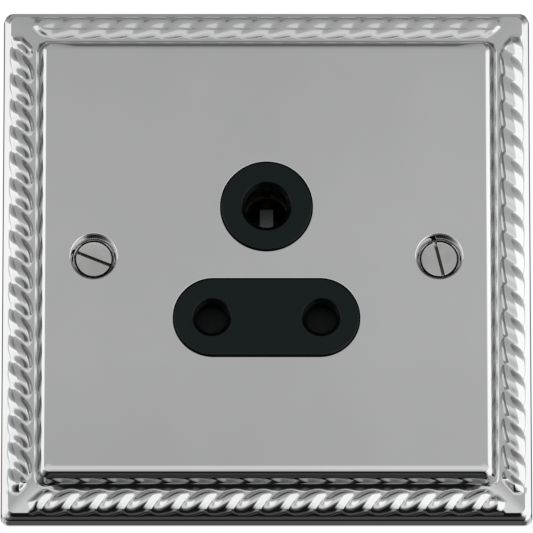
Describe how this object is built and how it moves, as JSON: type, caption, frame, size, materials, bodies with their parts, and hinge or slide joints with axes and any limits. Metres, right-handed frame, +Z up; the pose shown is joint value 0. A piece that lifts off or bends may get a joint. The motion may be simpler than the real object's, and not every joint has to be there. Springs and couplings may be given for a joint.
{
  "type": "round pin socket",
  "caption": "Square flush wall socket for round pins, with a polished rope-edged metal plate and a shuttered black moulding.",
  "frame": {"origin": "midway between the two fixing screws, in the plane of the wall (the rear rim of the plate)", "axes": "+Z up, -Y out of the wall towards the user, +X to the right as seen from the front"},
  "size_m": [0.0926, 0.0369, 0.0926],
  "materials": {
    "chrome": "polished plate",
    "bright_screw": "bright plated, faintly turned",
    "black_moulding": "satin moulded black",
    "shutter_grey": "matt moulded",
    "spring_steel": "drawn wire",
    "brass": "pressed strip",
    "brass_block": "sawn and drilled bar",
    "zinc_steel": "zinc plated"
  },
  "bodies": {
    "socket": {"front_plate": "chrome", "fixing_screw_left": "bright_screw", "fixing_screw_right": "bright_screw", "front_moulding": "black_moulding", "rear_housing": "black_moulding", "shutter_spring": "spring_steel", "live_contact": "brass", "neutral_contact": "brass", "earth_contact": "brass", "live_terminal": "brass_block", "neutral_terminal": "brass_block", "earth_terminal": "brass_block", "earth_strap": "brass", "live_terminal_screw": "zinc_steel", "neutral_terminal_screw": "zinc_steel", "earth_terminal_screw": "zinc_steel", "housing_screws": "zinc_steel", "plate_studs": "zinc_steel", "stud_nuts": "zinc_steel", "earth_stud": "zinc_steel", "earth_nut": "zinc_steel"},
    "shutter": {"shutter": "shutter_grey"}
  },
  "joints": [
    {"name": "shutter_slide", "type": "slide", "parent": "socket", "child": "shutter", "axis": [0, 0, -1], "range_m": [0, 0.0057], "stiffness_N_per_m": 120, "springref_m": -0.004, "deforming": ["shutter_spring"]}
  ]
}
